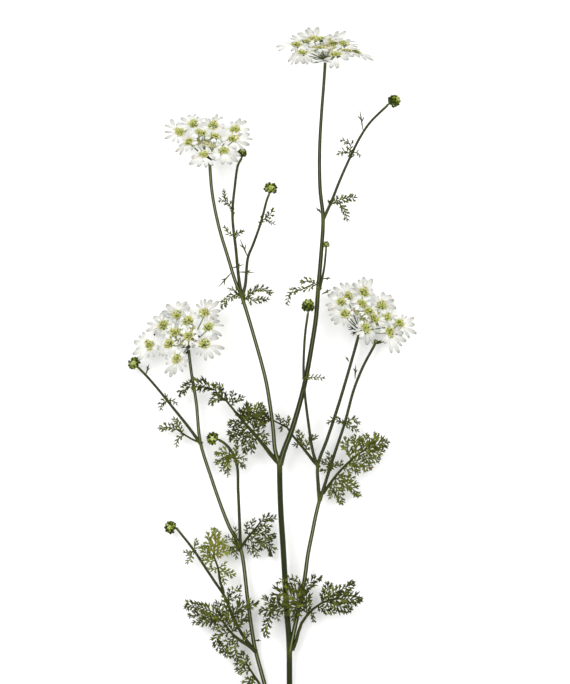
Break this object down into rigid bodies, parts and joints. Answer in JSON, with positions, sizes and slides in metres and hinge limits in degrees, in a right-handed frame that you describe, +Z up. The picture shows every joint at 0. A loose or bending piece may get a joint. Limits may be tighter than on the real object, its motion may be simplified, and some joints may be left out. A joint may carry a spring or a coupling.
{
  "type": "queen annes lace flower",
  "caption": "Cut branching stem of white lace flower lying flat, with flat-topped heads of white petals, closed round buds and fine cut fern-like leaves.",
  "frame": {"origin": "on the table (z = 0), under the middle of the whole lying plant's box", "axes": "+Y along the stem from its cut end towards the flower heads, +Z up from the table, +X to the right as seen from above with the flowers at the top"},
  "size_m": [0.2183, 0.6196, 0.07],
  "materials": {
    "stem_green": "fresh ribbed green stem, satin",
    "petal_white": "soft matt white petals with yellow-green middles",
    "bud_green": "fresh green, satin",
    "leaf_green": "matt dark green"
  },
  "bodies": {
    "root": {"stem": "stem_green", "flower_head_1": "petal_white", "flower_head_2": "petal_white", "flower_head_3": "petal_white", "flower_head_4": "petal_white", "bud_1": "bud_green", "bud_2": "bud_green", "bud_3": "bud_green", "bud_4": "bud_green", "bud_5": "bud_green", "bud_6": "bud_green", "bud_7": "bud_green", "bud_8": "bud_green", "bud_9": "bud_green", "frond_1": "leaf_green", "frond_2": "leaf_green", "frond_3": "leaf_green", "frond_4": "leaf_green", "frond_5": "leaf_green", "frond_6": "leaf_green", "frond_7": "leaf_green", "frond_8": "leaf_green", "frond_9": "leaf_green", "leaf_1": "leaf_green", "leaf_2": "leaf_green", "leaf_3": "leaf_green", "leaf_4": "leaf_green", "leaf_5": "leaf_green", "leaf_6": "leaf_green", "leaf_7": "leaf_green", "leaf_8": "leaf_green", "leaf_9": "leaf_green", "leaf_10": "leaf_green", "leaf_11": "leaf_green", "leaf_12": "leaf_green", "leaf_13": "leaf_green", "leaf_14": "leaf_green", "leaf_15": "leaf_green", "leaf_16": "leaf_green", "leaf_17": "leaf_green"}
  },
  "joints": []
}
